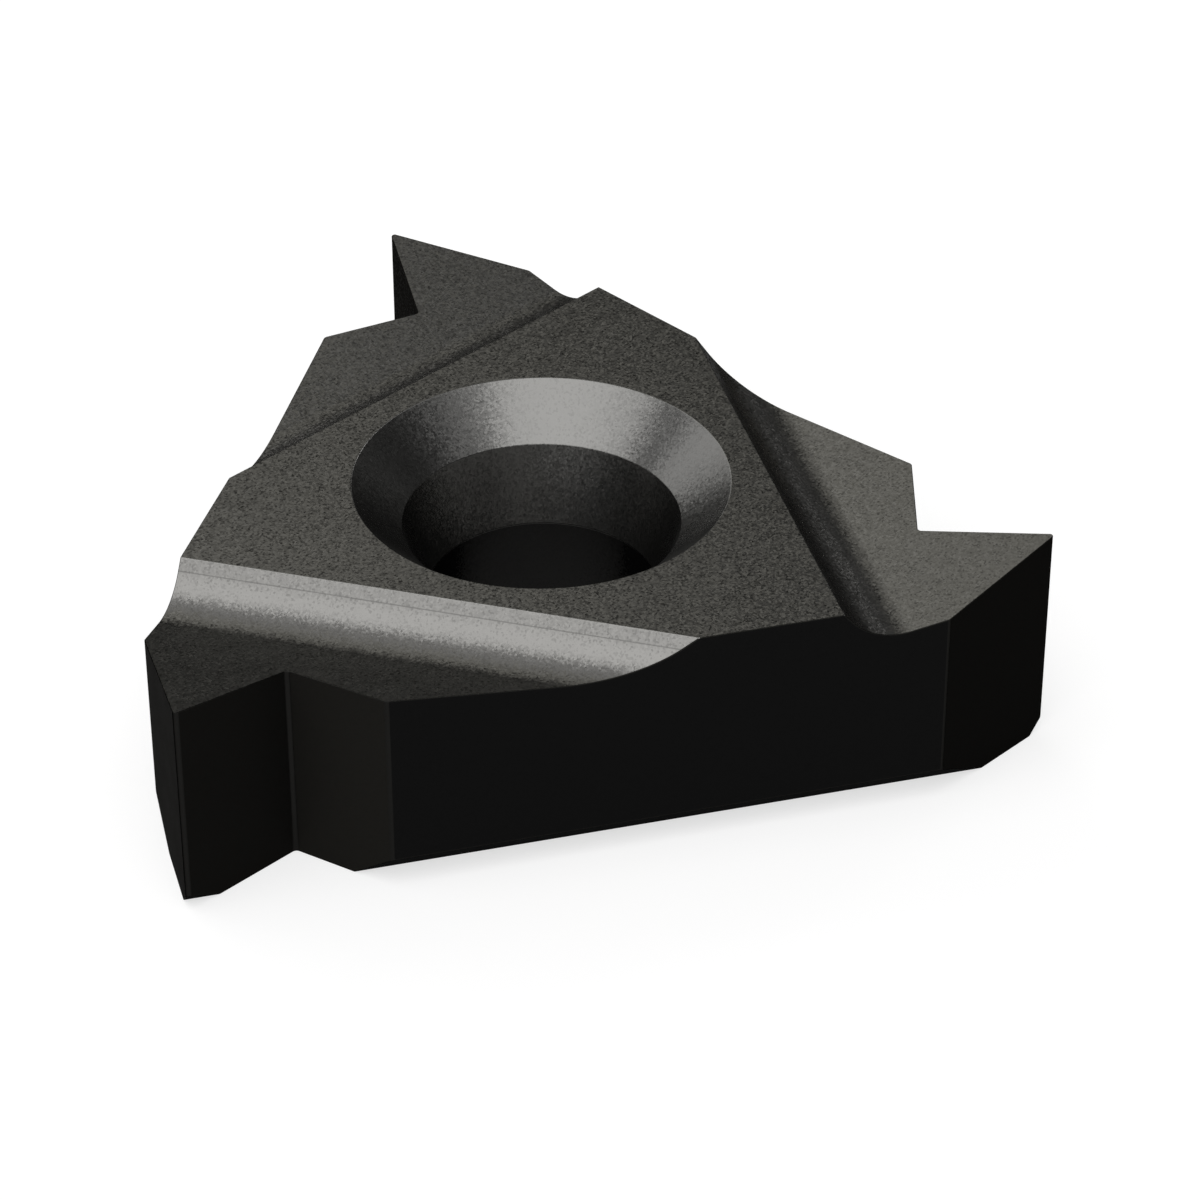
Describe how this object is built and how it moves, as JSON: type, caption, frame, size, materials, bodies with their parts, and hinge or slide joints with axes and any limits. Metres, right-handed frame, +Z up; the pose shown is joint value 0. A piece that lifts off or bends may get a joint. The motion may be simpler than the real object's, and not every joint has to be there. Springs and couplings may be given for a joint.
{
  "type": "thread turning insert",
  "caption": "Triangular sintered carbide insert with a ground thread tooth and chip face at each corner and a countersunk screw hole, for turning external threads.",
  "frame": {"origin": "on the screw hole's axis, in the plane of the flat seat", "axes": "+Z up out of the seat along the hole's axis; +X along the long wall that faces -Y, the way the tooth beside that wall points"},
  "size_m": [0.014, 0.0129, 0.0038],
  "materials": {
    "coated_carbide": "dark coated carbide, satin, fine granular on top and plain ground on the flanks"
  },
  "bodies": {
    "root": {"insert": "coated_carbide"}
  },
  "joints": []
}
